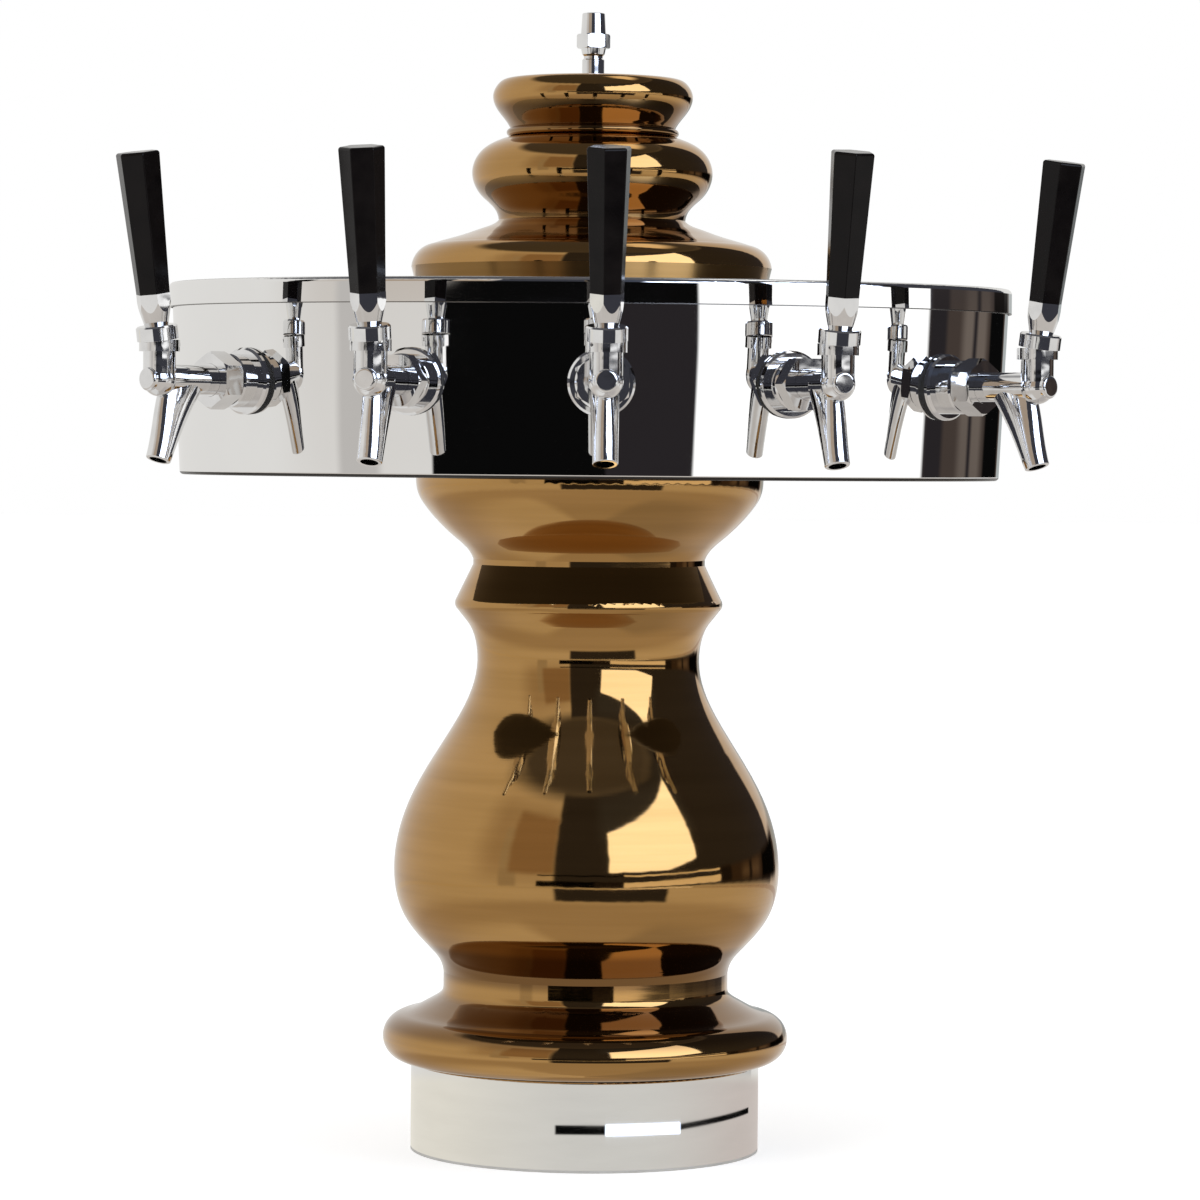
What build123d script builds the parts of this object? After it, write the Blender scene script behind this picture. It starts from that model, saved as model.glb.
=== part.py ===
"""Free-standing beer tower: a mirror-glazed ceramic column on a steel base ring, an oval
steel manifold drum across its top with five lever taps, and a ceramic crown with a finial.

Frame: +Z up, origin at the centre of the base gasket's underside, the taps on the -Y side.
Millimetres throughout. The pieces stack on one support tube and one tie rod:
base plate and ring, column, drum, lid, crown, finial.
"""

from build123d import *
import math
import os

# ---------------------------------------------------------------- base
BASE_RADIUS = 130.0
BASE_RING_HEIGHT = 64.0
BASE_RING_WALL = 2.0
BASE_RING_LEDGE = 34.0
BASE_EDGE_ROUND = 1.5
BASE_PLATE_THICKNESS = 6.0
BASE_GASKET_THICKNESS = 2.0
BOLT_CIRCLE_RADIUS = 92.0
BOLT_HOLE_RADIUS = 4.3
BOLT_COUNT = 4
SEAL_THICKNESS = 1.0
SEAL_WIDTH = 12.0

# ---------------------------------------------------------------- ceramic column
COLUMN_HEIGHT = 434.0
COLUMN_WALL = 8.0
FOOT_RADIUS = 135.0
FOOT_DISC_RADIUS = 151.2
WAIST_RADIUS = 106.3
BELLY_RADIUS = 143.7
NECK_RADIUS = 82.8
COLLAR_RADIUS = 99.8
GROOVE_RADIUS = 86.5
CUP_RADIUS = 129.6

# ---------------------------------------------------------------- manifold drum and lid
DRUM_HALF_LENGTH = 311.7
DRUM_HALF_WIDTH = 216.7
DRUM_HEIGHT = 140.5
DRUM_DRAFT = 6.7
DRUM_WALL = 1.5
DRUM_EDGE_ROUND = 3.0
LID_THICKNESS = 1.5
LID_SKIRT = 17.0
LID_EDGE_ROUND = 3.5
LID_CLEARANCE = 0.3

# ---------------------------------------------------------------- ceramic crown
CROWN_HEIGHT = 153.0
CROWN_WALL = 6.0
CROWN_FOOT_RADIUS = 131.0
CROWN_DISC_RADIUS = 134.2
CROWN_GROOVE_RADIUS = 69.5
CROWN_BULB_RADIUS = 89.5
CROWN_NECK_RADIUS = 60.0
CROWN_BEAD = 4.1
CROWN_TOP_RADIUS = 74.3
CROWN_FLAT_RADIUS = 61.0

# ---------------------------------------------------------------- finial and tie rod
ROD_RADIUS = 5.0
ROD_CLEARANCE = 0.15
FINIAL_STEM_RADIUS = 8.3
FINIAL_STEM_HEIGHT = 23.0
FINIAL_STEM_NECK = 1.2
FINIAL_STEM_SHOULDER = 1.0
FINIAL_NUT_ACROSS = 22.0
FINIAL_NUT_HEIGHT = 10.5
FINIAL_CAP_RADIUS = 9.3
FINIAL_CAP_TIP_RADIUS = 8.4
FINIAL_CAP_HEIGHT = 15.5
FINIAL_CAP_ROUND = 0.8
ROD_NUT_ACROSS = 17.0
ROD_NUT_HEIGHT = 8.0
BRIDGE_WIDTH = 18.0
BRIDGE_THICKNESS = 6.0

# ---------------------------------------------------------------- support tube and lines
TUBE_RADIUS = 38.0
TUBE_WALL = 2.0
TUBE_CLEARANCE = 0.3
TUBE_NUT_RADIUS = 52.0
TUBE_NUT_HEIGHT = 8.0
TUBE_STICK_OUT = 2.0
TUBE_NUT_SLOTS = 4
LINE_RADIUS = 4.0
LINE_END_LEVEL = 24.0
LINE_FIT = 0.2
LINE_PORTS = ((-20.0, 18.0), (-20.0, -18.0), (0.0, -27.0), (20.0, -18.0), (20.0, 18.0))
COOLANT_RADIUS = 4.75
COOLANT_PORT_X = 7.0
COOLANT_PORT_Y = 27.0
COOLANT_BELOW_TAPS = 24.0
COOLANT_BEND = 24.0
SPACER_THICKNESS = 8.0
SPACER_LEVEL = 34.0

# ---------------------------------------------------------------- taps, along the shank
TAP_COUNT = 5
TAP_PITCH = 136.0
TAP_ABOVE_FLOOR = 68.0
SHANK_RADIUS = 11.1
SHANK_BORE = 3.2
SHANK_INSIDE = 46.0
SHANK_HEAD_RADIUS = 14.2
SHANK_HEAD_LENGTH = 10.0
SHANK_POCKET_RADIUS = 9.2
SHANK_POCKET_DEPTH = 14.0
SHANK_SEAL = 2.0
SHANK_HOLE_CLEARANCE = 0.4
FLANGE_RADIUS = 24.0
FLANGE_THICKNESS = 4.0
SLEEVE_RADIUS = 19.3
SLEEVE_LENGTH = 15.0
LOCK_NUT_ACROSS = 32.0
LOCK_NUT_LENGTH = 9.0
TAIL_NUT_ACROSS = 24.0
TAIL_NUT_LENGTH = 14.0
TAIL_GRIP = 8.0
TAIL_RADIUS = 6.5
TAIL_LENGTH = 10.0
WASHER_THICKNESS = 1.5
COUPLING_ACROSS = 36.0
COUPLING_LIP = 3.0
COUPLING_SETBACK = 1.0
COUPLING_TURNS = (0.0, 30.0, 0.0, 30.0, 0.0)
THREAD_CLEARANCE = 0.1

# ---------------------------------------------------------------- faucet body
BODY_TAIL_RADIUS = 14.0
BODY_TAIL_LENGTH = 3.0
BODY_NECK_RADIUS = 11.8
BARREL_RADIUS = 10.5
BARREL_BORE = 7.0
BARREL_START = 6.5
SEAT_BORE = 5.8
SEAT_LENGTH = 7.5
LEVER_DISTANCE = 86.5
NOSE_LENGTH = 12.8
NOSE_RADIUS = 8.4
NOSE_EDGE = 2.2
NOSE_FRONT_WALL = 1.6
PIVOT_RISE = 18.0
PILLAR_RADIUS = 11.6
KNUCKLE_RADIUS = 12.2
SPOUT_DROP = 57.0
SPOUT_AHEAD = 1.0
SPOUT_TIP_RADIUS = 8.9
SPOUT_MOUTH_RADIUS = 6.3
SPOUT_MOUTH_DEPTH = 14.0
SPOUT_BORE = 5.5
SPOUT_LEAN = 20.0
SPOUT_LIP_ROUND = 0.8
SPOUT_DEPTHS = (20.0, 15.0, 11.3)
SPOUT_SETBACKS = (25.0, 14.3, 7.3)

# ---------------------------------------------------------------- lever, plunger and handle
LEVER_LEAN = 9.0
LEVER_TRAVEL = 25.0
BALL_RADIUS = 9.0
BALL_CLEARANCE = 0.2
STEM_RADIUS = 3.0
STUD_RADIUS = 4.7
ARM_THICKNESS = 3.4
ARM_WIDTH = 5.6
ARM_TIP_RADIUS = 2.4
TIP_PLAY = 0.35
BONNET_RADIUS = 14.5
BONNET_BOTTOM = 1.5
BONNET_TOP = 9.6
BONNET_LIP = 3.6
BONNET_MOUTH = 7.6
BONNET_RIM = 1.6
BONNET_HOLE_RADIUS = 1.4
BONNET_HOLE_DEPTH = 1.6
BONNET_HOLES = 4
COLLAR_GAP = 0.4
LEVER_COLLAR_RADIUS = 14.8
LEVER_COLLAR_TOP = 20.0
LEVER_COLLAR_CHAMFER = 1.2
FERRULE_LENGTH = 22.5
FERRULE_FOOT_RADIUS = 8.4
FERRULE_FLARE = 1.5
HANDLE_LENGTH = 100.0
HANDLE_FOOT_ACROSS = 21.5
HANDLE_TOP_ACROSS = 28.0
HANDLE_EDGE = 2.0
HANDLE_SIDE_ROUND = 1.0
HANDLE_TURNS = (0.0, -10.0, -13.0, -15.0, 0.0)
HANDLE_SPIGOT_RADIUS = 6.5
HANDLE_SPIGOT = 7.0
PLUNGER_BLOCK_RADIUS = 5.2
PLUNGER_ROD_RADIUS = 2.6
PLUNGER_GUIDE_RADIUS = 4.0
PLUNGER_BLOCK_WALL = 2.0
PLUNGER_FLAT = 3.4
PLUNGER_END_PLAY = 0.5
SEAT_WASHER_RADIUS = 7.6
SEAT_WASHER_THICKNESS = 4.0
SEAT_GAP = 0.1
SEAT_NUT_RADIUS = 5.0
SEAT_NUT_LENGTH = 3.4
GUIDE_CLEARANCE = 0.15

# ---------------------------------------------------------------- levels of the stack
RING_FLOOR = BASE_GASKET_THICKNESS
RING_TOP = RING_FLOOR + BASE_RING_HEIGHT
COLUMN_FLOOR = RING_TOP + SEAL_THICKNESS
COLUMN_TOP = COLUMN_FLOOR + COLUMN_HEIGHT
DRUM_FLOOR = COLUMN_TOP + SEAL_THICKNESS
DRUM_TOP = DRUM_FLOOR + DRUM_HEIGHT
LID_TOP = DRUM_TOP + LID_THICKNESS
CROWN_FLOOR = LID_TOP + SEAL_THICKNESS
CROWN_TOP = CROWN_FLOOR + CROWN_HEIGHT
FINIAL_NUT_LEVEL = CROWN_TOP + FINIAL_STEM_HEIGHT
FINIAL_CAP_LEVEL = FINIAL_NUT_LEVEL + FINIAL_NUT_HEIGHT
PLATE_TOP = RING_FLOOR + BASE_PLATE_THICKNESS
TUBE_NUT_LEVEL = DRUM_FLOOR + DRUM_WALL
TUBE_TOP = TUBE_NUT_LEVEL + TUBE_NUT_HEIGHT + TUBE_STICK_OUT
TUBE_BORE = TUBE_RADIUS - TUBE_WALL
TAP_LEVEL = DRUM_FLOOR + TAP_ABOVE_FLOOR

# ---------------------------------------------------------------- stations along a tap
FLANGE_START = SHANK_SEAL
FLANGE_FACE = FLANGE_START + FLANGE_THICKNESS + SLEEVE_LENGTH
HEAD_FACE = FLANGE_FACE + SHANK_HEAD_LENGTH
BODY_START = HEAD_FACE + WASHER_THICKNESS
TAIL_FACE = BODY_START + BODY_TAIL_LENGTH
COUPLING_START = FLANGE_FACE + COUPLING_SETBACK
COUPLING_END = TAIL_FACE + COUPLING_LIP
NOSE_TIP = LEVER_DISTANCE + NOSE_LENGTH
SPOUT_DISTANCE = LEVER_DISTANCE + SPOUT_AHEAD
ARM_LENGTH = PIVOT_RISE
TIP_START = LEVER_DISTANCE - ARM_LENGTH * math.sin(math.radians(LEVER_LEAN))
SLOT_HALF = ARM_TIP_RADIUS + TIP_PLAY
BLOCK_BACK = TIP_START - SLOT_HALF - PLUNGER_BLOCK_WALL
BLOCK_FRONT = TIP_START + SLOT_HALF + PLUNGER_BLOCK_WALL
BARREL_BORE_END = BLOCK_FRONT + TIP_PLAY
SOCKET_RADIUS = BALL_RADIUS + BALL_CLEARANCE
COLLAR_BOWL = math.hypot(BONNET_RADIUS, BONNET_TOP) + COLLAR_GAP
FERRULE_START = LEVER_COLLAR_TOP
HANDLE_START = FERRULE_START + FERRULE_LENGTH


def save(name, shape):
    """Writes one node; a list of solids becomes one node of separate solids."""
    if isinstance(shape, list):
        shape = Compound(children=shape)
    export_step(shape, os.path.join("parts", name + ".step"))


def ring(inner, outer, bottom, height):
    """A flat ring about Z."""
    hollow = Cylinder(outer, height) - Cylinder(inner, height)
    return Pos(0, 0, bottom + height / 2) * hollow


def disc(radius, bottom, height):
    """A plain round disc or bar about Z."""
    return Pos(0, 0, bottom + height / 2) * Cylinder(radius, height)


def hex_bar(across, bottom, height, turn=0.0):
    """A hexagonal bar about Z with its corners turned down to a cone at both ends."""
    corner = across / math.sqrt(3)
    crown = (corner - across / 2) * 0.6
    flat = extrude(Rot(0, 0, turn) * RegularPolygon(corner, 6), height)
    cone = Cylinder(corner, height, align=(Align.CENTER, Align.CENTER, Align.MIN))
    cone = chamfer(cone.edges(), crown)
    return Pos(0, 0, bottom) * (flat & cone)


def turned(points):
    """Revolves a closed (radius, height) outline of straight edges about Z."""
    outline = Polyline(*[(r, 0, z) for r, z in points], close=True)
    return revolve(make_face(outline), Axis.Z)


def turned_curves(*curves):
    """Revolves the face that a chain of (radius, 0, height) curves encloses about Z."""
    return revolve(make_face(Wire(list(curves))), Axis.Z)


def at(radius, height):
    """A point of a turned outline."""
    return Vector(radius, 0, height)


def along(shape):
    """Lays a shape modelled about Z along a tap's own +X, so that Z becomes distance."""
    return Rot(0, 90, 0) * shape


# ================================================================ base
def bolted_disc(radius, bottom, height):
    """A disc with the bolt holes and the opening that the lines come up through."""
    plate = ring(TUBE_BORE, radius, bottom, height)
    hole = disc(BOLT_HOLE_RADIUS, bottom, height)
    return plate - PolarLocations(BOLT_CIRCLE_RADIUS, BOLT_COUNT, 45) * hole


def base_gasket():
    return bolted_disc(BASE_RADIUS, 0, BASE_GASKET_THICKNESS)


def base_plate():
    """Mounting plate: bolts to the counter and carries the support tube."""
    radius = BASE_RADIUS - BASE_RING_WALL - ROD_CLEARANCE
    return bolted_disc(radius, RING_FLOOR, BASE_PLATE_THICKNESS)


def base_ring():
    """Polished band with a ledge turned in at the top for the column's foot."""
    outside = disc(BASE_RADIUS, RING_FLOOR, BASE_RING_HEIGHT)
    outside = fillet(outside.edges().sort_by(Axis.Z)[-1], BASE_EDGE_ROUND)
    inside = disc(BASE_RADIUS - BASE_RING_WALL, RING_FLOOR, BASE_RING_HEIGHT - BASE_RING_WALL)
    opening = disc(BASE_RADIUS - BASE_RING_LEDGE, RING_FLOOR, BASE_RING_HEIGHT)
    return outside - inside - opening


def seal_ring(outer, bottom):
    return ring(outer - SEAL_WIDTH, outer, bottom, SEAL_THICKNESS)


# ================================================================ ceramic column
def column_point(radius, share):
    """A point of the column's outline at a share of the column's height."""
    return at(radius, COLUMN_FLOOR + share * COLUMN_HEIGHT)


def belly_curve(inset):
    """From the waist up over the belly and the neck to the collar, drawn in by an inset."""
    return Spline(
        column_point(WAIST_RADIUS - inset, 0.152),
        column_point(BELLY_RADIUS * 0.813 - inset, 0.1935),
        column_point(BELLY_RADIUS * 0.947 - inset, 0.2488),
        column_point(BELLY_RADIUS - inset, 0.3387),
        column_point(BELLY_RADIUS * 0.909 - inset, 0.4562),
        column_point(BELLY_RADIUS * 0.688 - inset, 0.5806),
        column_point(NECK_RADIUS - inset, 0.6912),
        column_point(NECK_RADIUS * 1.068 - inset, 0.7465),
        column_point(COLLAR_RADIUS * 0.979 - inset, 0.7742),
        tangents=(Vector(0.12, 0, 1), Vector(0.75, 0, 1)),
    )


def cup_curve(inset):
    """From the groove out to the rim under the drum, drawn in by an inset."""
    return Spline(
        column_point(GROOVE_RADIUS - inset, 0.8618),
        column_point(CUP_RADIUS * 0.775 - inset, 0.8986),
        column_point(CUP_RADIUS * 0.95 - inset, 0.9539),
        column_point(CUP_RADIUS - inset, 1),
        tangents=(Vector(0.35, 0, 1), Vector(0, 0, 1)),
    )


def column_outline():
    """The column's outside as a chain of curves, from the foot to the rim."""
    roll = ThreePointArc(
        column_point(FOOT_RADIUS, 0),
        column_point(FOOT_DISC_RADIUS, 0.043),
        column_point(FOOT_DISC_RADIUS * 0.905, 0.08),
    )
    shoulder = Spline(
        roll @ 1,
        column_point(WAIST_RADIUS * 1.095, 0.101),
        column_point(WAIST_RADIUS * 1.018, 0.1135),
        column_point(WAIST_RADIUS, 0.1265),
        tangents=(roll % 1, Vector(0, 0, 1)),
    )
    belly = belly_curve(0)
    waist = Line(shoulder @ 1, belly @ 0)
    bead = ThreePointArc(
        belly @ 1,
        column_point(COLLAR_RADIUS, 0.7845),
        column_point(COLLAR_RADIUS * 0.991, 0.7935),
    )
    cone = Line(bead @ 1, column_point(GROOVE_RADIUS, 0.8525))
    cup = cup_curve(0)
    groove = Line(cone @ 1, cup @ 0)
    return [roll, shoulder, waist, belly, bead, cone, groove, cup]


def column_bore():
    """The column's inside: the belly's own curve one wall in, and a rim as wide as its seal."""
    belly = belly_curve(COLUMN_WALL)
    cup = cup_curve(SEAL_WIDTH)
    waist = Line(column_point(WAIST_RADIUS - COLUMN_WALL, 0), belly @ 0)
    neck = Line(belly @ 1, cup @ 0)
    top = Line(cup @ 1, column_point(0, 1))
    middle = Line(top @ 1, column_point(0, 0))
    bottom = Line(middle @ 1, waist @ 0)
    return turned_curves(waist, belly, neck, cup, top, middle, bottom)


def ceramic_column():
    outline = column_outline()
    top = Line(outline[-1] @ 1, at(0, COLUMN_TOP))
    middle = Line(top @ 1, at(0, COLUMN_FLOOR))
    bottom = Line(middle @ 1, outline[0] @ 0)
    return turned_curves(*outline, top, middle, bottom) - column_bore()


# ================================================================ crown
def crown_point(radius, share):
    """A point of the crown's outline at a share of the crown's height."""
    return at(radius, CROWN_FLOOR + share * CROWN_HEIGHT)


def crown_slope(drop):
    """The points up the crown's sloping foot to its groove, lowered by a share of its height."""
    return [
        crown_point(CROWN_DISC_RADIUS * 0.882, 0.196 - drop),
        crown_point(CROWN_DISC_RADIUS * 0.724, 0.2373 - drop),
        crown_point(CROWN_GROOVE_RADIUS * 1.166, 0.2745 - drop),
        crown_point(CROWN_GROOVE_RADIUS, 0.3137 - drop),
    ]


def crown_outline():
    """The crown's outside as a chain of curves, from the foot to the flat top."""
    edge = Line(crown_point(CROWN_FOOT_RADIUS, 0), crown_point(CROWN_DISC_RADIUS, 0.085))
    slope = Spline(*crown_slope(0), tangents=(Vector(-0.94, 0, 0.34), Vector(-0.8, 0, 1)))
    roll = ThreePointArc(
        edge @ 1,
        crown_point(CROWN_DISC_RADIUS * 0.97, 0.151),
        slope @ 0,
    )
    bulb = Spline(
        slope @ 1,
        crown_point(CROWN_BULB_RADIUS * 0.921, 0.4314),
        crown_point(CROWN_BULB_RADIUS, 0.549),
        crown_point(CROWN_BULB_RADIUS * 0.954, 0.6275),
        crown_point(CROWN_NECK_RADIUS, 0.7222),
        tangents=(Vector(0.1, 0, 1), Vector(-1, 0, 0.3)),
    )
    bead = ThreePointArc(
        bulb @ 1,
        crown_point(CROWN_NECK_RADIUS + CROWN_BEAD, 0.7386),
        crown_point(CROWN_NECK_RADIUS + CROWN_BEAD * 0.3, 0.7582),
    )
    top = Spline(
        bead @ 1,
        crown_point(CROWN_TOP_RADIUS * 0.96, 0.8523),
        crown_point(CROWN_TOP_RADIUS, 0.9216),
        crown_point(CROWN_TOP_RADIUS * 0.949, 0.974),
        crown_point(CROWN_FLAT_RADIUS, 1),
        tangents=(Vector(0.45, 0, 1), Vector(-1, 0, 0.02)),
    )
    return [edge, roll, slope, bulb, bead, top]


def crown_bore():
    """The crown's inside: a wide foot under the slope, a narrow throat and the hollow bulb."""
    roof = CROWN_TOP - CROWN_WALL
    foot = Line(
        crown_point(CROWN_FOOT_RADIUS - SEAL_WIDTH, 0),
        crown_point(CROWN_DISC_RADIUS - SEAL_WIDTH, 0.085),
    )
    slope = Spline(
        foot @ 1,
        *crown_slope(1.3 * CROWN_WALL / CROWN_HEIGHT),
        crown_point(CROWN_GROOVE_RADIUS - 1.6 * CROWN_WALL, 0.3137),
        tangents=(Vector(0, 0, 1), Vector(-0.3, 0, 1)),
    )
    bulb = Spline(
        slope @ 1,
        crown_point(CROWN_BULB_RADIUS - 2 * CROWN_WALL, 0.549),
        crown_point(CROWN_NECK_RADIUS - CROWN_WALL, 0.73),
        at(CROWN_FLAT_RADIUS - CROWN_WALL, roof),
        tangents=(Vector(0.3, 0, 1), Vector(0, 0, 1)),
    )
    top = Line(bulb @ 1, at(0, roof))
    middle = Line(top @ 1, crown_point(0, 0))
    bottom = Line(middle @ 1, foot @ 0)
    return turned_curves(foot, slope, bulb, top, middle, bottom)


def ceramic_crown():
    outline = crown_outline()
    top = Line(outline[-1] @ 1, at(0, CROWN_TOP))
    middle = Line(top @ 1, at(0, CROWN_FLOOR))
    bottom = Line(middle @ 1, outline[0] @ 0)
    solid = turned_curves(*outline, top, middle, bottom) - crown_bore()
    return solid - disc(ROD_RADIUS + ROD_CLEARANCE, CROWN_FLOOR, CROWN_HEIGHT)


# ================================================================ drum and lid
def drum_axes(level):
    """Half length and half width of the drum's outside at a level, as the wall is drafted."""
    inset = DRUM_DRAFT * (DRUM_TOP - level) / DRUM_HEIGHT
    return DRUM_HALF_LENGTH - inset, DRUM_HALF_WIDTH - inset


def drum_block(inset, bottom):
    """The drum's outside form, drawn in by an inset, from a level up to the rim."""
    low = drum_axes(bottom)
    high = drum_axes(DRUM_TOP)
    lower = Pos(0, 0, bottom) * Ellipse(low[0] - inset, low[1] - inset)
    upper = Pos(0, 0, DRUM_TOP) * Ellipse(high[0] - inset, high[1] - inset)
    return loft([lower, upper], ruled=True)


def manifold_drum():
    """Open pan: drafted oval wall, flat floor, five shank holes."""
    outside = drum_block(0, DRUM_FLOOR)
    outside = fillet(outside.edges().sort_by(Axis.Z)[0], DRUM_EDGE_ROUND)
    pan = outside - drum_block(DRUM_WALL, DRUM_FLOOR + DRUM_WALL)
    pan -= disc(TUBE_RADIUS + TUBE_CLEARANCE, DRUM_FLOOR, DRUM_WALL)
    drill = along(disc(SHANK_RADIUS + SHANK_HOLE_CLEARANCE, -SHANK_INSIDE, 2 * SHANK_INSIDE))
    for place in tap_places():
        pan -= place * drill
    return pan


def manifold_lid():
    """Lid with a skirt that overlaps the drum's rim."""
    gap = DRUM_WALL + LID_CLEARANCE
    length = DRUM_HALF_LENGTH + gap
    width = DRUM_HALF_WIDTH + gap
    height = LID_SKIRT + LID_THICKNESS
    cover = extrude(Ellipse(length, width), height)
    cover = fillet(cover.edges().sort_by(Axis.Z)[-1], LID_EDGE_ROUND)
    cover -= extrude(Ellipse(length - DRUM_WALL, width - DRUM_WALL), LID_SKIRT)
    cover = Pos(0, 0, DRUM_TOP - LID_SKIRT) * cover
    return cover - disc(ROD_RADIUS + ROD_CLEARANCE, DRUM_TOP, LID_THICKNESS)


# ================================================================ support tube and tie rod
def support_tube():
    return ring(TUBE_BORE, TUBE_RADIUS, PLATE_TOP, TUBE_TOP - PLATE_TOP)


def tube_ring_nut():
    """Slotted ring nut that clamps the drum's floor down on the column."""
    nut = ring(TUBE_RADIUS + THREAD_CLEARANCE, TUBE_NUT_RADIUS, TUBE_NUT_LEVEL, TUBE_NUT_HEIGHT)
    depth = (TUBE_NUT_RADIUS - TUBE_RADIUS) * 0.6
    slot = Pos(0, 0, TUBE_NUT_LEVEL + TUBE_NUT_HEIGHT / 2) * Box(depth, depth, TUBE_NUT_HEIGHT)
    return nut - PolarLocations(TUBE_NUT_RADIUS, TUBE_NUT_SLOTS, 45) * slot


def rod_bridge():
    """Bar across the tube's top that the tie rod pulls on, leaving the tube's sides open."""
    bar = Box(2 * TUBE_RADIUS, BRIDGE_WIDTH, BRIDGE_THICKNESS)
    bar = Pos(0, 0, TUBE_TOP + BRIDGE_THICKNESS / 2) * bar
    bar &= disc(TUBE_RADIUS, TUBE_TOP, BRIDGE_THICKNESS)
    return bar - disc(ROD_RADIUS + ROD_CLEARANCE, TUBE_TOP, BRIDGE_THICKNESS)


def rod_nut(level):
    bore = disc(ROD_RADIUS + THREAD_CLEARANCE, level, ROD_NUT_HEIGHT)
    return hex_bar(ROD_NUT_ACROSS, level, ROD_NUT_HEIGHT) - bore


def rod_nuts():
    return [rod_nut(TUBE_TOP - ROD_NUT_HEIGHT), rod_nut(TUBE_TOP + BRIDGE_THICKNESS)]


def tie_rod():
    bottom = TUBE_TOP - 1.5 * ROD_NUT_HEIGHT
    top = FINIAL_CAP_LEVEL + FINIAL_CAP_HEIGHT / 2
    return disc(ROD_RADIUS, bottom, top - bottom)


# ================================================================ finial
def finial_stem():
    """Turned spacer with a shallow neck under its top shoulder."""
    top = FINIAL_STEM_HEIGHT
    bore = ROD_RADIUS + ROD_CLEARANCE
    stem = turned(
        [
            (bore, 0),
            (FINIAL_STEM_RADIUS, 0),
            (FINIAL_STEM_RADIUS, top * 0.62),
            (FINIAL_STEM_RADIUS - FINIAL_STEM_NECK, top * 0.68),
            (FINIAL_STEM_RADIUS - FINIAL_STEM_NECK, top * 0.74),
            (FINIAL_STEM_RADIUS, top * 0.8),
            (FINIAL_STEM_RADIUS + FINIAL_STEM_SHOULDER, top),
            (bore, top),
        ]
    )
    return Pos(0, 0, CROWN_TOP) * stem


def finial_nut():
    nut = hex_bar(FINIAL_NUT_ACROSS, FINIAL_NUT_LEVEL, FINIAL_NUT_HEIGHT, 10)
    return nut - disc(ROD_RADIUS + THREAD_CLEARANCE, FINIAL_NUT_LEVEL, FINIAL_NUT_HEIGHT)


def finial_cap():
    """Tapered blind cap that closes the rod's end."""
    cap = Cone(FINIAL_CAP_RADIUS, FINIAL_CAP_TIP_RADIUS, FINIAL_CAP_HEIGHT)
    cap = Pos(0, 0, FINIAL_CAP_LEVEL + FINIAL_CAP_HEIGHT / 2) * cap
    cap = fillet(cap.edges().sort_by(Axis.Z)[-1], FINIAL_CAP_ROUND)
    depth = FINIAL_CAP_HEIGHT / 2 + THREAD_CLEARANCE
    return cap - disc(ROD_RADIUS + THREAD_CLEARANCE, FINIAL_CAP_LEVEL, depth)


# ================================================================ lines inside
def tube_along(points, bends, radius):
    """A round tube solid along straight runs joined by tangent arcs."""
    corners = [points[0]]
    for point, following in zip(points[1:], points[2:]):
        if (point - corners[-1]).get_angle(following - point) > 1:
            corners.append(point)
    path = FilletPolyline(*corners, points[-1], radius=bends)
    start = Plane(origin=path @ 0, z_dir=path % 0)
    return sweep(start * Circle(radius), path=path)


def beer_line(place, port):
    """From a shank's tail piece in to the support tube and down it."""
    tail = place * Pos(-(SHANK_INSIDE + TAIL_NUT_LENGTH - TAIL_GRIP + TAIL_LENGTH), 0, 0)
    start = tail.position
    lead = (tail * Pos(-3 * LINE_RADIUS, 0, 0)).position
    over = Vector(port[0], port[1], TAP_LEVEL)
    foot = Vector(port[0], port[1], LINE_END_LEVEL)
    return tube_along([start, lead, over, foot], 2.6 * LINE_RADIUS, LINE_RADIUS)


def coolant_loop():
    """Copper loop that rises in the tube, runs round under the shanks and goes down again."""
    level = TAP_LEVEL - COOLANT_BELOW_TAPS
    deep = SHANK_INSIDE + COOLANT_BEND
    half_length, half_width = drum_axes(level)
    side = half_length - deep
    front = -(half_width - deep)
    left = [
        Vector(-COOLANT_PORT_X, COOLANT_PORT_Y, LINE_END_LEVEL),
        Vector(-COOLANT_PORT_X, COOLANT_PORT_Y, level),
        Vector(-side * 0.25, COOLANT_PORT_Y + COOLANT_BEND, level),
        Vector(-side * 0.9, COOLANT_PORT_Y, level),
        Vector(-side, front * 0.25, level),
        Vector(-side * 0.55, front * 0.92, level),
    ]
    right = [Vector(-p.X, p.Y, p.Z) for p in reversed(left)]
    middle = Vector(0, front, level)
    return tube_along([*left, middle, *right], COOLANT_BEND * 0.6, COOLANT_RADIUS)


def line_spacer():
    """Spacer disc that holds the lines apart in the tube's foot."""
    spacer = disc(TUBE_BORE - ROD_CLEARANCE, SPACER_LEVEL, SPACER_THICKNESS)
    for x, y in LINE_PORTS:
        spacer -= Pos(x, y, 0) * disc(LINE_RADIUS + LINE_FIT, SPACER_LEVEL, SPACER_THICKNESS)
    for x in (-COOLANT_PORT_X, COOLANT_PORT_X):
        hole = disc(COOLANT_RADIUS + LINE_FIT, SPACER_LEVEL, SPACER_THICKNESS)
        spacer -= Pos(x, COOLANT_PORT_Y, 0) * hole
    return spacer


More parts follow.
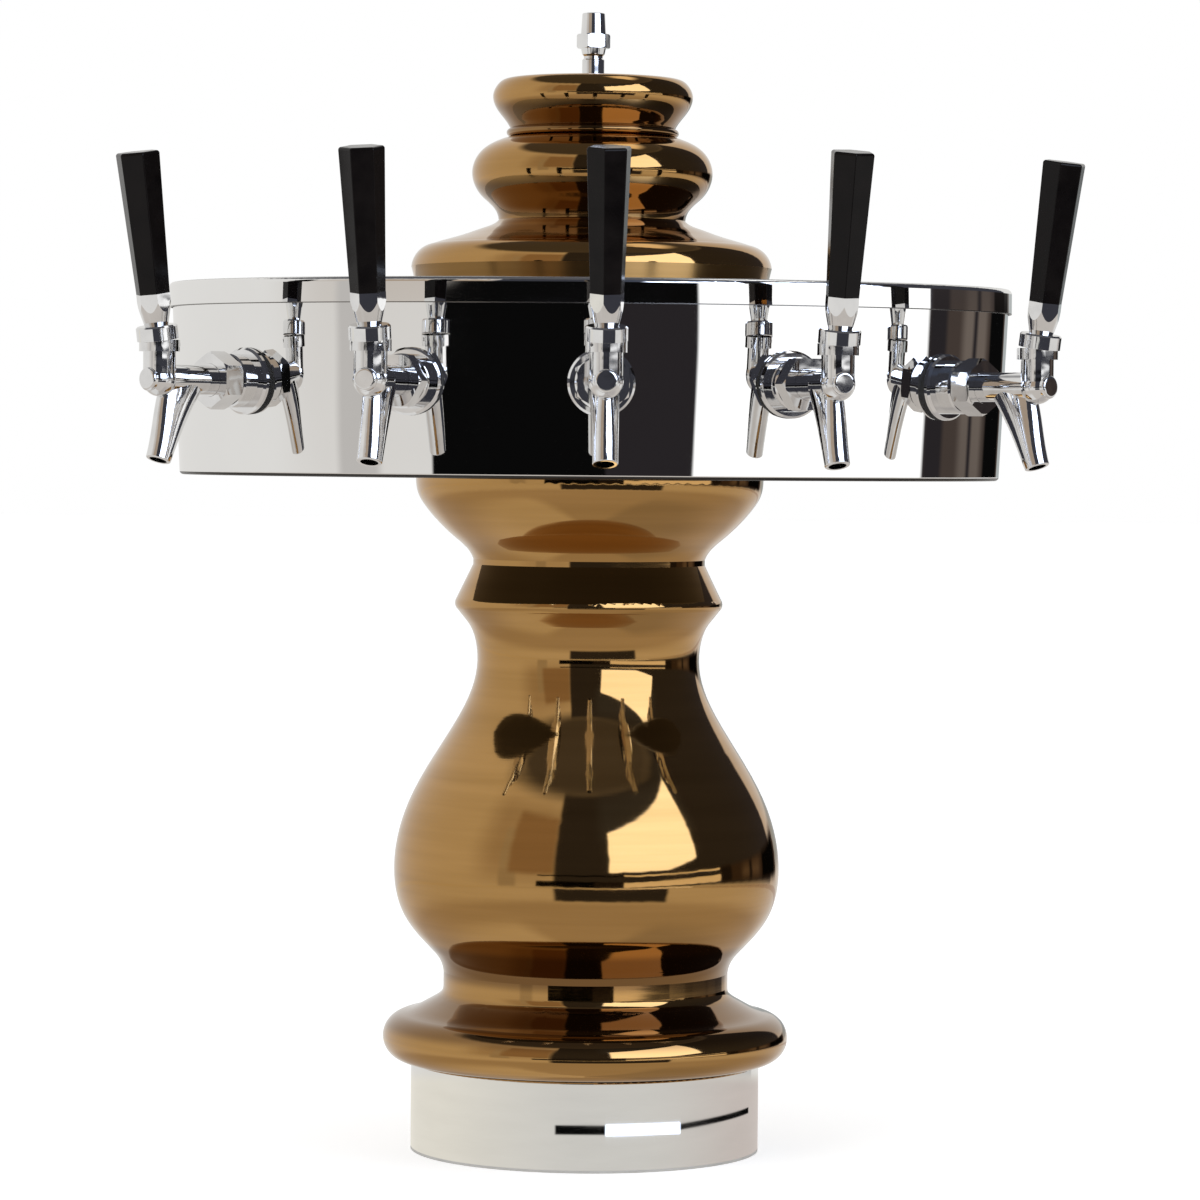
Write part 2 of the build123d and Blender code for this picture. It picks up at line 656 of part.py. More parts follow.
# ================================================================ tap, in its own frame
# A tap's frame has its origin on the drum's outside wall, +X out of the wall, +Z up.
def tap_places():
    """Where each tap's frame sits: equal steps along the drum's wall, square to it."""
    half_length, half_width = drum_axes(TAP_LEVEL)
    front = Edge.make_ellipse(half_length, half_width, start_angle=180, end_angle=360)
    places = []
    for index in range(TAP_COUNT):
        step = front.length / 2 + (index - (TAP_COUNT - 1) / 2) * TAP_PITCH
        foot = front.position_at(step, position_mode=PositionMode.LENGTH)
        heading = math.degrees(math.atan2(foot.Y / half_width**2, foot.X / half_length**2))
        places.append(Pos(foot.X, foot.Y, TAP_LEVEL) * Rot(0, 0, heading))
    return places


def shank():
    """Threaded shank: head outside the wall, long tail inside, pocket for the seat washer."""
    body = disc(SHANK_RADIUS, -SHANK_INSIDE, SHANK_INSIDE + FLANGE_FACE)
    body += disc(SHANK_HEAD_RADIUS, FLANGE_FACE, SHANK_HEAD_LENGTH)
    body -= disc(SHANK_POCKET_RADIUS, HEAD_FACE - SHANK_POCKET_DEPTH, SHANK_POCKET_DEPTH)
    body -= disc(SHANK_BORE, -SHANK_INSIDE, SHANK_INSIDE + HEAD_FACE)
    return along(body)


def shank_flange():
    """Round flange that covers the hole in the wall, with the sleeve that the head draws on."""
    bore = SHANK_RADIUS + THREAD_CLEARANCE
    rim = FLANGE_START + FLANGE_THICKNESS
    profile = [
        (bore, FLANGE_START),
        (FLANGE_RADIUS, FLANGE_START),
        (FLANGE_RADIUS, rim - FLANGE_THICKNESS * 0.4),
        (FLANGE_RADIUS - FLANGE_THICKNESS * 0.4, rim),
        (SLEEVE_RADIUS, rim),
        (SLEEVE_RADIUS, FLANGE_FACE - FLANGE_THICKNESS * 0.3),
        (SLEEVE_RADIUS - FLANGE_THICKNESS * 0.3, FLANGE_FACE),
        (bore, FLANGE_FACE),
    ]
    return along(turned(profile))


def shank_seal():
    """Rubber ring cut to the drum's curve on one face and flat on the other."""
    reach = SHANK_SEAL * 3
    return along(ring(SHANK_RADIUS + THREAD_CLEARANCE, FLANGE_RADIUS, -reach, reach + SHANK_SEAL))


def lock_nut():
    """Hexagonal nut that draws the shank's flange against the wall from inside."""
    start = -(DRUM_WALL + SHANK_SEAL + LOCK_NUT_LENGTH)
    bore = disc(SHANK_RADIUS + THREAD_CLEARANCE, start, LOCK_NUT_LENGTH)
    return along(hex_bar(LOCK_NUT_ACROSS, start, LOCK_NUT_LENGTH) - bore)


def tail_piece():
    """Nut and barbed tail on the shank's inner end, to which the beer line is fixed."""
    nut_start = -SHANK_INSIDE - TAIL_NUT_LENGTH + TAIL_GRIP
    piece = hex_bar(TAIL_NUT_ACROSS, nut_start, TAIL_NUT_LENGTH)
    piece += disc(TAIL_RADIUS, nut_start - TAIL_LENGTH, TAIL_LENGTH)
    piece -= disc(SHANK_RADIUS + THREAD_CLEARANCE, -SHANK_INSIDE, TAIL_GRIP)
    piece -= disc(SHANK_BORE, nut_start - TAIL_LENGTH, TAIL_NUT_LENGTH + TAIL_LENGTH)
    return along(piece)


def coupling_washer():
    return along(ring(SHANK_POCKET_RADIUS, BODY_TAIL_RADIUS, HEAD_FACE, WASHER_THICKNESS))


def coupling_nut(turn):
    """Hexagonal nut whose lip pulls the faucet's tail against the shank's head."""
    length = COUPLING_END - COUPLING_START
    nut = hex_bar(COUPLING_ACROSS, COUPLING_START, length, turn)
    nut -= disc(SHANK_HEAD_RADIUS + THREAD_CLEARANCE, COUPLING_START, length - COUPLING_LIP)
    nut -= disc(BODY_NECK_RADIUS + THREAD_CLEARANCE, COUPLING_START, length)
    return along(nut)


def spout_section(distance, rise, across, wide, lean):
    """One oval section of the spout, its plane square to a direction leaning out."""
    tilt = math.radians(lean)
    plane = Plane(
        origin=(distance, 0, rise),
        x_dir=(math.cos(tilt), 0, math.sin(tilt)),
        z_dir=(math.sin(tilt), 0, -math.cos(tilt)),
    )
    return plane * Ellipse(across, wide)


def spout():
    """The spout's outside: a horn that narrows from the barrel to a round tip."""
    tip = SPOUT_DISTANCE
    wide = BARREL_RADIUS * 0.93
    narrow = (wide + SPOUT_TIP_RADIUS) / 2
    root, upper, lower = [tip - setback for setback in SPOUT_SETBACKS]
    deep, middle, shallow = SPOUT_DEPTHS
    horn = loft(
        [
            spout_section(root, -SPOUT_DROP * 0.035, deep, wide, 0),
            spout_section(upper, -SPOUT_DROP * 0.35, middle, wide, SPOUT_LEAN * 0.5),
            spout_section(lower, -SPOUT_DROP * 0.66, shallow, narrow, SPOUT_LEAN * 0.85),
            spout_section(tip, -SPOUT_DROP, SPOUT_TIP_RADIUS, SPOUT_TIP_RADIUS, SPOUT_LEAN),
        ]
    )
    return fillet(horn.faces().sort_by(Axis.Z)[0].edges(), SPOUT_LIP_ROUND)


def spout_drill(radius, depth):
    """A straight drilling up the spout from its mouth."""
    drill = Cylinder(radius, depth, align=(Align.CENTER, Align.CENTER, Align.MIN))
    return Pos(SPOUT_DISTANCE, 0, -SPOUT_DROP) * Rot(0, -SPOUT_LEAN, 0) * drill


def faucet_body():
    """Cast body: tail, barrel, round nose, pillar for the lever and the spout."""
    barrel = disc(BODY_TAIL_RADIUS, BODY_START, BODY_TAIL_LENGTH)
    barrel += disc(BODY_NECK_RADIUS, BODY_START, BARREL_START)
    barrel += disc(BARREL_RADIUS, BODY_START, LEVER_DISTANCE - BODY_START)
    nose = disc(NOSE_RADIUS, LEVER_DISTANCE, NOSE_LENGTH)
    barrel += fillet(nose.edges().sort_by(Axis.Z)[-1], NOSE_EDGE)
    body = along(barrel) + spout()
    body += Pos(LEVER_DISTANCE, 0, 0) * Sphere(KNUCKLE_RADIUS)
    pillar_top = PIVOT_RISE + BONNET_LIP - THREAD_CLEARANCE
    body += Pos(LEVER_DISTANCE, 0, 0) * disc(PILLAR_RADIUS, 0, pillar_top)
    bore_start = BODY_START + SEAT_LENGTH
    guide_end = NOSE_TIP - NOSE_FRONT_WALL
    guide_radius = PLUNGER_GUIDE_RADIUS + GUIDE_CLEARANCE
    body -= along(disc(SEAT_BORE, BODY_START, SEAT_LENGTH))
    body -= along(disc(BARREL_BORE, bore_start, BARREL_BORE_END - bore_start))
    body -= along(disc(guide_radius, BARREL_BORE_END, guide_end - BARREL_BORE_END))
    body -= Pos(LEVER_DISTANCE, 0, PIVOT_RISE) * Sphere(SOCKET_RADIUS)
    body -= lever_slot()
    body -= spout_drill(SPOUT_BORE, SPOUT_DROP)
    return body - spout_drill(SPOUT_MOUTH_RADIUS, SPOUT_MOUTH_DEPTH)


def lever_slot():
    """Wedge-shaped opening from the ball's socket to the barrel, wide enough for the swing."""
    swing = math.radians(LEVER_LEAN + LEVER_TRAVEL)
    lean = math.radians(LEVER_LEAN)
    front = ARM_THICKNESS / 2 / math.cos(lean) + 2 * TIP_PLAY
    back = ARM_THICKNESS / 2 / math.cos(swing) + 2 * TIP_PLAY
    wedge = Polyline(
        (front, 0, 0),
        (front, 0, -PIVOT_RISE),
        (-back - PIVOT_RISE * math.tan(swing), 0, -PIVOT_RISE),
        (-back, 0, 0),
        close=True,
    )
    opening = extrude(make_face(wedge), ARM_WIDTH / 2 + TIP_PLAY, both=True)
    return Pos(LEVER_DISTANCE, 0, PIVOT_RISE) * opening


def bonnet():
    """Screwed ring with spanner holes that holds the lever's ball down in its socket."""
    reach = math.sqrt(SOCKET_RADIUS**2 - BONNET_LIP**2)
    mouth_level = math.sqrt(SOCKET_RADIUS**2 - BONNET_MOUTH**2)
    flare = BONNET_RADIUS - BONNET_RIM
    curve_level = (BONNET_LIP + mouth_level) / 2
    curve_radius = math.sqrt(SOCKET_RADIUS**2 - curve_level**2)
    bore = PILLAR_RADIUS + THREAD_CLEARANCE
    outer = Polyline(
        at(BONNET_MOUTH, mouth_level),
        at(flare, BONNET_TOP),
        at(BONNET_RADIUS, BONNET_TOP),
        at(BONNET_RADIUS, BONNET_BOTTOM),
        at(bore, BONNET_BOTTOM),
        at(bore, BONNET_LIP),
        at(reach, BONNET_LIP),
    )
    seat = ThreePointArc(outer @ 1, at(curve_radius, curve_level), outer @ 0)
    piece = turned_curves(*outer.edges(), seat)
    drill = Rot(0, 90, 0) * Cylinder(BONNET_HOLE_RADIUS, 2 * BONNET_HOLE_DEPTH)
    drill = Pos(0, 0, (BONNET_LIP + BONNET_TOP) / 2) * drill
    piece -= PolarLocations(BONNET_RADIUS, BONNET_HOLES, 45) * drill
    return Pos(LEVER_DISTANCE, 0, PIVOT_RISE) * piece


# ---------------------------------------------------------------- lever side, about the pivot
# The lever's frame has its origin at the ball's centre and +Z up the stem.
def tilted(shape):
    """Puts a piece of the lever at the ball, leaning out as it does when shut."""
    return Pos(LEVER_DISTANCE, 0, PIVOT_RISE) * Rot(0, LEVER_LEAN, 0) * shape


def lever():
    """Ball with a stem and threaded stud above and a flat arm with a round tip below."""
    piece = Sphere(BALL_RADIUS)
    piece += disc(STEM_RADIUS, 0, COLLAR_BOWL)
    stud_start = COLLAR_BOWL - COLLAR_GAP
    piece += disc(STUD_RADIUS, stud_start, FERRULE_START + FERRULE_LENGTH / 2 - stud_start)
    arm = Box(ARM_THICKNESS, ARM_WIDTH, ARM_LENGTH)
    piece += Pos(0, 0, -ARM_LENGTH / 2) * arm
    tip = Rot(90, 0, 0) * Cylinder(ARM_TIP_RADIUS, ARM_WIDTH)
    return tilted(piece + Pos(0, 0, -ARM_LENGTH) * tip)


def lever_collar():
    """Bell over the ball joint: a bowl centred on the pivot, so that it swings clear."""
    rim_level = math.sqrt(COLLAR_BOWL**2 - LEVER_COLLAR_RADIUS**2)
    bar = disc(LEVER_COLLAR_RADIUS, rim_level, LEVER_COLLAR_TOP - rim_level)
    bar = chamfer(bar.edges().sort_by(Axis.Z)[-1], LEVER_COLLAR_CHAMFER)
    bar -= Sphere(COLLAR_BOWL)
    return tilted(bar - disc(STUD_RADIUS + THREAD_CLEARANCE, 0, LEVER_COLLAR_TOP))


def ferrule(turn):
    """Bright ferrule: round at the collar, six-sided where it meets the handle."""
    corner = HANDLE_FOOT_ACROSS / math.sqrt(3)
    outside = extrude(RegularPolygon(corner, 6), FERRULE_LENGTH)
    outside = Pos(0, 0, FERRULE_START) * outside
    cone = Cone(FERRULE_FOOT_RADIUS, corner + FERRULE_FLARE, FERRULE_LENGTH)
    outside &= Pos(0, 0, FERRULE_START + FERRULE_LENGTH / 2) * cone
    stud = disc(STUD_RADIUS + THREAD_CLEARANCE, FERRULE_START, FERRULE_LENGTH / 2 + 1)
    socket = disc(HANDLE_SPIGOT_RADIUS, HANDLE_START - HANDLE_SPIGOT, HANDLE_SPIGOT)
    return tilted(Rot(0, 0, turn) * (outside - stud - socket))


def handle(turn):
    """Six-sided tapered plastic handle with a spigot in the ferrule."""
    low = Pos(0, 0, HANDLE_START) * RegularPolygon(HANDLE_FOOT_ACROSS / math.sqrt(3), 6)
    high_level = HANDLE_START + HANDLE_LENGTH
    high = Pos(0, 0, high_level) * RegularPolygon(HANDLE_TOP_ACROSS / math.sqrt(3), 6)
    grip = loft([low, high], ruled=True)
    sides = [edge for edge in grip.edges() if edge.length > HANDLE_LENGTH / 2]
    grip = fillet(sides, HANDLE_SIDE_ROUND)
    grip = fillet(grip.faces().sort_by(Axis.Z)[-1].edges(), HANDLE_EDGE)
    spigot = disc(HANDLE_SPIGOT_RADIUS, HANDLE_START - HANDLE_SPIGOT, HANDLE_SPIGOT)
    return tilted(Rot(0, 0, turn) * (grip + spigot))


def plunger():
    """Shaft that the lever's arm slides to lift the seat washer off the body's seat."""
    washer_face = BODY_START - SEAT_GAP
    washer_back = washer_face - SEAT_WASHER_THICKNESS
    nut_back = washer_back - SEAT_NUT_LENGTH
    shaft = disc(PLUNGER_ROD_RADIUS, nut_back, BLOCK_BACK - nut_back)
    shaft += disc(SEAT_NUT_RADIUS, nut_back, SEAT_NUT_LENGTH)
    shaft += disc(PLUNGER_BLOCK_RADIUS, BLOCK_BACK, BLOCK_FRONT - BLOCK_BACK)
    guide_end = NOSE_TIP - NOSE_FRONT_WALL - PLUNGER_END_PLAY
    shaft += disc(PLUNGER_GUIDE_RADIUS, BLOCK_FRONT, guide_end - BLOCK_FRONT)
    shaft = along(shaft)
    top = Box(BLOCK_FRONT - BLOCK_BACK, 2 * PLUNGER_BLOCK_RADIUS, PLUNGER_BLOCK_RADIUS)
    middle = (BLOCK_BACK + BLOCK_FRONT) / 2
    shaft -= Pos(middle, 0, PLUNGER_FLAT + PLUNGER_BLOCK_RADIUS / 2) * top
    slot = Box(2 * SLOT_HALF, ARM_WIDTH + 2 * TIP_PLAY, PLUNGER_BLOCK_RADIUS * 2)
    floor = -ARM_TIP_RADIUS - TIP_PLAY
    shaft -= Pos(TIP_START, 0, floor + PLUNGER_BLOCK_RADIUS) * slot
    washer = along(ring(PLUNGER_ROD_RADIUS, SEAT_WASHER_RADIUS, washer_back, SEAT_WASHER_THICKNESS))
    return [shaft, washer]


# ================================================================ write every node
def main():
    os.makedirs("parts", exist_ok=True)
    places = tap_places()

    save("base_gasket", base_gasket())
    save("base_plate", base_plate())
    save("base_ring", base_ring())
    save("column_gasket", seal_ring(BASE_RADIUS - BASE_RING_WALL, RING_TOP))
    save("ceramic_column", ceramic_column())
    save("drum_gasket", seal_ring(CUP_RADIUS, COLUMN_TOP))
    save("support_tube", support_tube())
    save("tube_ring_nut", tube_ring_nut())
    drum = manifold_drum()
    save("manifold_drum", drum)
    save("manifold_lid", manifold_lid())
    save("crown_gasket", seal_ring(CROWN_FOOT_RADIUS, LID_TOP))
    save("ceramic_crown", ceramic_crown())
    save("rod_bridge", rod_bridge())
    save("rod_nuts", rod_nuts())
    save("tie_rod", tie_rod())
    save("finial_stem", finial_stem())
    save("finial_nut", finial_nut())
    save("finial_cap", finial_cap())
    save("coolant_loop", coolant_loop())
    save("line_spacer", line_spacer())
    save("beer_lines", [beer_line(p, port) for p, port in zip(places, LINE_PORTS)])

    block = drum_block(0, DRUM_FLOOR)
    save("shank_seals", [p * shank_seal() - block for p in places])
    save("shanks", [p * shank() for p in places])
    save("shank_flanges", [p * shank_flange() for p in places])
    save("shank_lock_nuts", [p * lock_nut() for p in places])
    save("tail_pieces", [p * tail_piece() for p in places])
    save("coupling_washers", [p * coupling_washer() for p in places])
    nuts = [p * coupling_nut(turn) for p, turn in zip(places, COUPLING_TURNS)]
    save("coupling_nuts", nuts)
    save("bonnets", [p * bonnet() for p in places])

    for number, (place, turn) in enumerate(zip(places, HANDLE_TURNS), 1):
        save(f"tap_{number}_body", place * faucet_body())
        save(f"tap_{number}_plunger", [place * piece for piece in plunger()])
        save(f"tap_{number}_lever", place * lever())
        save(f"tap_{number}_collar", place * lever_collar())
        save(f"tap_{number}_ferrule", place * ferrule(turn))
        save(f"tap_{number}_handle", place * handle(turn))


main()
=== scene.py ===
"""A free-standing beer tower: gold-glazed ceramic column and crown, an oval mirror-steel
manifold drum with five chrome lever taps, and a chrome finial. Metres, +Z up, taps on -Y.
"""

import math

import bmesh
import bpy
from mathutils import Matrix, Vector


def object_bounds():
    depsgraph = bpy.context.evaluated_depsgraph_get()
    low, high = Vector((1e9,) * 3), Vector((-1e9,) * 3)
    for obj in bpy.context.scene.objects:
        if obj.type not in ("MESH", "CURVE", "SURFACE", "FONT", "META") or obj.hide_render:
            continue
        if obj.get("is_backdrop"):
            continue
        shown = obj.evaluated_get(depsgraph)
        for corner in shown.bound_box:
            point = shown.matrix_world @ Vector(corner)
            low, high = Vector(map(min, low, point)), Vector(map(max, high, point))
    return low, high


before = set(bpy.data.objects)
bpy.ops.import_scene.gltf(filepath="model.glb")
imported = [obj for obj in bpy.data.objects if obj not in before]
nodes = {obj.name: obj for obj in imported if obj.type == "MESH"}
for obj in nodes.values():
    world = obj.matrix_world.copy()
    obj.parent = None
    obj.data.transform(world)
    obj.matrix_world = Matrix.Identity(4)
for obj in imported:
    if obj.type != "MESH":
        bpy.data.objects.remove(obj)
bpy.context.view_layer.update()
scene = bpy.context.scene
scene.view_settings.view_transform = "Standard"


# ---------------------------------------------------------------- camera
# A long lens 3.6 m in front of the tower, level with the foot of the drum and a little to
# the left of the middle tap, on a tripod head that stands a hair out of true.
CAMERA_DISTANCE = 3.60
CAMERA_HEIGHT = 0.527
CAMERA_BEARING = -2.0
CAMERA_ROLL = 0.50
FRAME_PIXELS = 1200
PIXELS_PER_METRE = 1340
HORIZON_ROW = 444
AXIS_COLUMN = 588.7

camera_data = bpy.data.cameras.new("camera")
focal_pixels = PIXELS_PER_METRE * CAMERA_DISTANCE
camera_data.lens = focal_pixels * camera_data.sensor_width / FRAME_PIXELS
camera = bpy.data.objects.new("camera", camera_data)
scene.collection.objects.link(camera)
scene.camera = camera
bearing = math.radians(CAMERA_BEARING)
pitch = math.atan((FRAME_PIXELS / 2 - HORIZON_ROW) / focal_pixels)
swing = math.atan((FRAME_PIXELS / 2 - AXIS_COLUMN) / focal_pixels)
stand = Vector((math.sin(bearing), -math.cos(bearing), 0)) * CAMERA_DISTANCE
camera.matrix_world = (
    Matrix.Translation(stand + Vector((0, 0, CAMERA_HEIGHT)))
    @ Matrix.Rotation(bearing - swing, 4, "Z")
    @ Matrix.Rotation(math.pi / 2 - pitch, 4, "X")
    @ Matrix.Rotation(math.radians(CAMERA_ROLL), 4, "Z")
)


# ---------------------------------------------------------------- studio floor
# A sheet of white-painted board. To the camera it is lifted to paper white, so that only
# the tower's own shadow shows on it; mirror finishes see the studio instead of the board.
FLOOR_HALF = 30.0
FLOOR_COLOUR = (0.80, 0.80, 0.80, 1.0)
FLOOR_LIFT = 0.46

floor_mesh = bmesh.new()
bmesh.ops.create_grid(floor_mesh, x_segments=1, y_segments=1, size=FLOOR_HALF)
floor_data = bpy.data.meshes.new("floor")
floor_mesh.to_mesh(floor_data)
floor_mesh.free()
floor = bpy.data.objects.new("floor", floor_data)
scene.collection.objects.link(floor)


def new_material(name):
    """An empty node material with a Principled shader joined to its output."""
    material = bpy.data.materials.new(name)
    material.use_nodes = True
    tree = material.node_tree
    tree.nodes.clear()
    output = tree.nodes.new("ShaderNodeOutputMaterial")
    shader = tree.nodes.new("ShaderNodeBsdfPrincipled")
    tree.links.new(shader.outputs["BSDF"], output.inputs["Surface"])
    return material, tree, shader


floor_paint, floor_tree, floor_shader = new_material("floor_paint")
floor_shader.inputs["Base Color"].default_value = FLOOR_COLOUR
floor_shader.inputs["Roughness"].default_value = 0.9
floor_shader.inputs["Emission Color"].default_value = (1.0, 1.0, 1.0, 1.0)
floor_rays = floor_tree.nodes.new("ShaderNodeLightPath")
floor_lift = floor_tree.nodes.new("ShaderNodeMath")
floor_lift.operation = "MULTIPLY"
floor_lift.inputs[1].default_value = FLOOR_LIFT
floor_tree.links.new(floor_rays.outputs["Is Camera Ray"], floor_lift.inputs[0])
floor_tree.links.new(floor_lift.outputs[0], floor_shader.inputs["Emission Strength"])
floor_data.materials.append(floor_paint)
floor.visible_glossy = False
floor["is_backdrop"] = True


# ---------------------------------------------------------------- studio walls
# The world is white to the camera and an even white to matt surfaces. Mirror finishes see a
# bright room on the left, a dark one with two windows on the right, and black flags between,
# each laid in by its compass bearing and its height in degrees from the drum.
WALL = (0.80, 0.79, 0.77, 1.0)
DIM_WALL = (0.58, 0.53, 0.48, 1.0)
WOOD_PANEL = (0.42, 0.33, 0.25, 1.0)
GREY_PILASTER = (0.55, 0.53, 0.51, 1.0)
CEILING = (0.10, 0.10, 0.11, 1.0)
SKYLIGHT = (1.5, 1.5, 1.5, 1.0)
CREAM_FLOOR = (0.60, 0.56, 0.52, 1.0)
FAR_FLOOR = (0.48, 0.45, 0.43, 1.0)
BACK_COUNTER = (0.84, 0.81, 0.73, 1.0)
FRONT_COUNTER = (0.69, 0.68, 0.65, 1.0)
SIDE_COUNTER = (0.63, 0.57, 0.54, 1.0)
DARK_ROOM = (0.044, 0.045, 0.056, 1.0)
WINDOW = (2.5, 2.85, 3.6, 1.0)
WINDOW_GLOW = (0.06, 0.07, 0.10, 1.0)
BLACK_FLAG = (0.003, 0.003, 0.003, 1.0)
CHARCOAL_FLAG = (0.022, 0.019, 0.021, 1.0)
WHITE_SCREEN = (1.25, 1.25, 1.25, 1.0)
BROWN_CURTAIN = (0.060, 0.045, 0.038, 1.0)
FADED_CURTAIN = (0.16, 0.13, 0.11, 1.0)
GREY_END = (0.42, 0.45, 0.45, 1.0)
ROOM_BRIGHTNESS = 0.75

world = bpy.data.worlds.new("studio")
scene.world = world
world.use_nodes = True
studio = world.node_tree
studio.nodes.clear()


def studio_math(operation, first, second=None, clamp=False):
    """One Math node of the studio; sockets are linked and numbers are written in."""
    node = studio.nodes.new("ShaderNodeMath")
    node.operation = operation
    node.use_clamp = clamp
    for socket, value in zip(node.inputs, (first, second)):
        if value is None:
            continue
        if isinstance(value, (int, float)):
            socket.default_value = value
        else:
            studio.links.new(value, socket)
    return node.outputs[0]


def studio_step(value, edge, softness):
    """Rises from 0 to 1 where a value in degrees passes an edge."""
    node = studio.nodes.new("ShaderNodeMapRange")
    node.interpolation_type = "SMOOTHSTEP"
    node.inputs["From Min"].default_value = edge - softness
    node.inputs["From Max"].default_value = edge + softness
    studio.links.new(value, node.inputs["Value"])
    return node.outputs["Result"]


def studio_band(value, low, high, softness):
    """Is 1 where a value lies between two edges."""
    rise = studio_step(value, low, softness)
    return studio_math("SUBTRACT", rise, studio_step(value, high, softness), clamp=True)


def studio_panel(left, right, low, high, softness, slant):
    """Is 1 between two bearings and two heights in degrees, which rise by the slant."""
    sideways, upright = softness
    risen = studio_math("SUBTRACT", height_out, studio_math("MULTIPLY", bearing_out, slant))
    across = studio_band(bearing_out, left, right, sideways)
    return studio_math("MULTIPLY", across, studio_band(risen, low, high, upright))


def studio_layer(under, mask, over):
    """Lays a colour over another where a mask is 1."""
    node = studio.nodes.new("ShaderNodeMix")
    node.data_type = "RGBA"
    studio.links.new(mask, node.inputs["Factor"])
    below, above = [s for s in node.inputs if s.type == "RGBA"]
    if isinstance(under, tuple):
        below.default_value = under
    else:
        studio.links.new(under, below)
    above.default_value = over
    return [s for s in node.outputs if s.type == "RGBA"][0]


place = studio.nodes.new("ShaderNodeTexCoord")
compass = studio.nodes.new("ShaderNodeSeparateXYZ")
studio.links.new(place.outputs["Generated"], compass.inputs["Vector"])
forwards = studio_math("MULTIPLY", compass.outputs["Y"], -1.0)
turn = studio_math("ARCTAN2", compass.outputs["X"], forwards)
bearing_out = studio_math("MULTIPLY", turn, 180 / math.pi)
lift = studio_math("ARCSINE", compass.outputs["Z"])
height_out = studio_math("MULTIPLY", lift, 180 / math.pi)

FLOOR_EDGE, FLOOR_BLEND = -20, 6
BLURRED, SOFT, HAZY, CRISP = (12.0, 12.0), (6.0, 6.0), (4.0, 4.0), (1.5, 1.5)
SHARP, LINE = (0.4, 0.4), (1.0, 0.01)
# Each panel has its left and right bearing, its low and high edge, how soft its edges are
# across and upright, its slant and its colour. A later panel lies over an earlier one.
PANELS = (
    (-200, -50, -120, -45, BLURRED, 0, WALL),
    (50, 150, -120, -45, BLURRED, 0, FAR_FLOOR),
    (-70, -21, 0, 45, BLURRED, 0, DIM_WALL),
    (-56, -45, -7.4, 30, CRISP, 0, GREY_PILASTER),
    (-50, -21, 3, 40, (2.5, 2.5), 0, WOOD_PANEL),
    (-200, 200, 50, 120, HAZY, 0, CEILING),
    (85, 150, 64, 78, HAZY, 0, SKYLIGHT),
    (-21, 48, -20, 52, CRISP, 0, DARK_ROOM),
    (46, 143, -7, 52, CRISP, 0, DARK_ROOM),
    (8, 72, 26, 50, SOFT, 0, WINDOW_GLOW),
    (12, 68, -10, 28, (0.8, 0.8), 0.3, WINDOW),
    (10, 70, -7, 4.5, (0.5, 0.5), 0, DARK_ROOM),
    (-32, 5, -7.2, -2.4, SHARP, 0, BLACK_FLAG),
    (3, 20.5, -7.2, -2.4, SHARP, 0, CHARCOAL_FLAG),
    (20.5, 86, -7.9, -3.9, SHARP, 0.03, WHITE_SCREEN),
    (86, 154, -5.6, 2.6, CRISP, 0, BROWN_CURTAIN),
    (86, 95, -5.6, 2.6, CRISP, 0, CHARCOAL_FLAG),
    (105, 124, -4.0, 1.0, (3.0, 3.0), 0, FADED_CURTAIN),
    (112, 115, -5.6, 2.6, CRISP, 0, CHARCOAL_FLAG),
    (128, 150, -5.6, 2.6, CRISP, 0, BLACK_FLAG),
    (154, 200, -4.0, 2.6, CRISP, 0, GREY_END),
    (-31, 20.5, 1.2, 2.3, (0.4, 0.2), 0, BLACK_FLAG),
    (20.5, 85, 1.2, 2.3, (0.4, 0.2), 0, WHITE_SCREEN),
    (-300, 300, -8.9, -7.5, (40.0, 0.1), 0, BACK_COUNTER),
    (-60, 300, -8.9, -7.5, (60.0, 0.1), 0, FRONT_COUNTER),
    (80, 300, -8.9, -7.5, (50.0, 0.1), 0, SIDE_COUNTER),
    (-21, 14, -8.18, -8.07, LINE, 0, BLACK_FLAG),
    (62, 138, -8.29, -8.22, LINE, 0.0028, BLACK_FLAG),
    (12, 64, -8.20, -8.07, LINE, 0.0007, WINDOW),
)

room = studio_layer(CREAM_FLOOR, studio_step(height_out, FLOOR_EDGE, FLOOR_BLEND), WALL)
for left, right, low, high, softness, slant, colour in PANELS:
    panel = studio_panel(left, right, low, high, softness, slant)
    room = studio_layer(room, panel, colour)

rays = studio.nodes.new("ShaderNodeLightPath")
to_camera = studio.nodes.new("ShaderNodeBackground")
to_mirrors = studio.nodes.new("ShaderNodeBackground")
to_matt = studio.nodes.new("ShaderNodeBackground")
to_camera.inputs["Color"].default_value = (1.0, 1.0, 1.0, 1.0)
to_matt.inputs["Color"].default_value = (1.0, 1.0, 1.0, 1.0)
to_matt.inputs["Strength"].default_value = ROOM_BRIGHTNESS
studio.links.new(room, to_mirrors.inputs["Color"])
shine = studio.nodes.new("ShaderNodeMixShader")
studio.links.new(rays.outputs["Is Glossy Ray"], shine.inputs[0])
studio.links.new(to_matt.outputs[0], shine.inputs[1])
studio.links.new(to_mirrors.outputs[0], shine.inputs[2])
backdrop = studio.nodes.new("ShaderNodeMixShader")
studio.links.new(rays.outputs["Is Camera Ray"], backdrop.inputs[0])
studio.links.new(shine.outputs[0], backdrop.inputs[1])
studio.links.new(to_camera.outputs[0], backdrop.inputs[2])
studio_output = studio.nodes.new("ShaderNodeOutputWorld")
studio.links.new(backdrop.outputs[0], studio_output.inputs["Surface"])


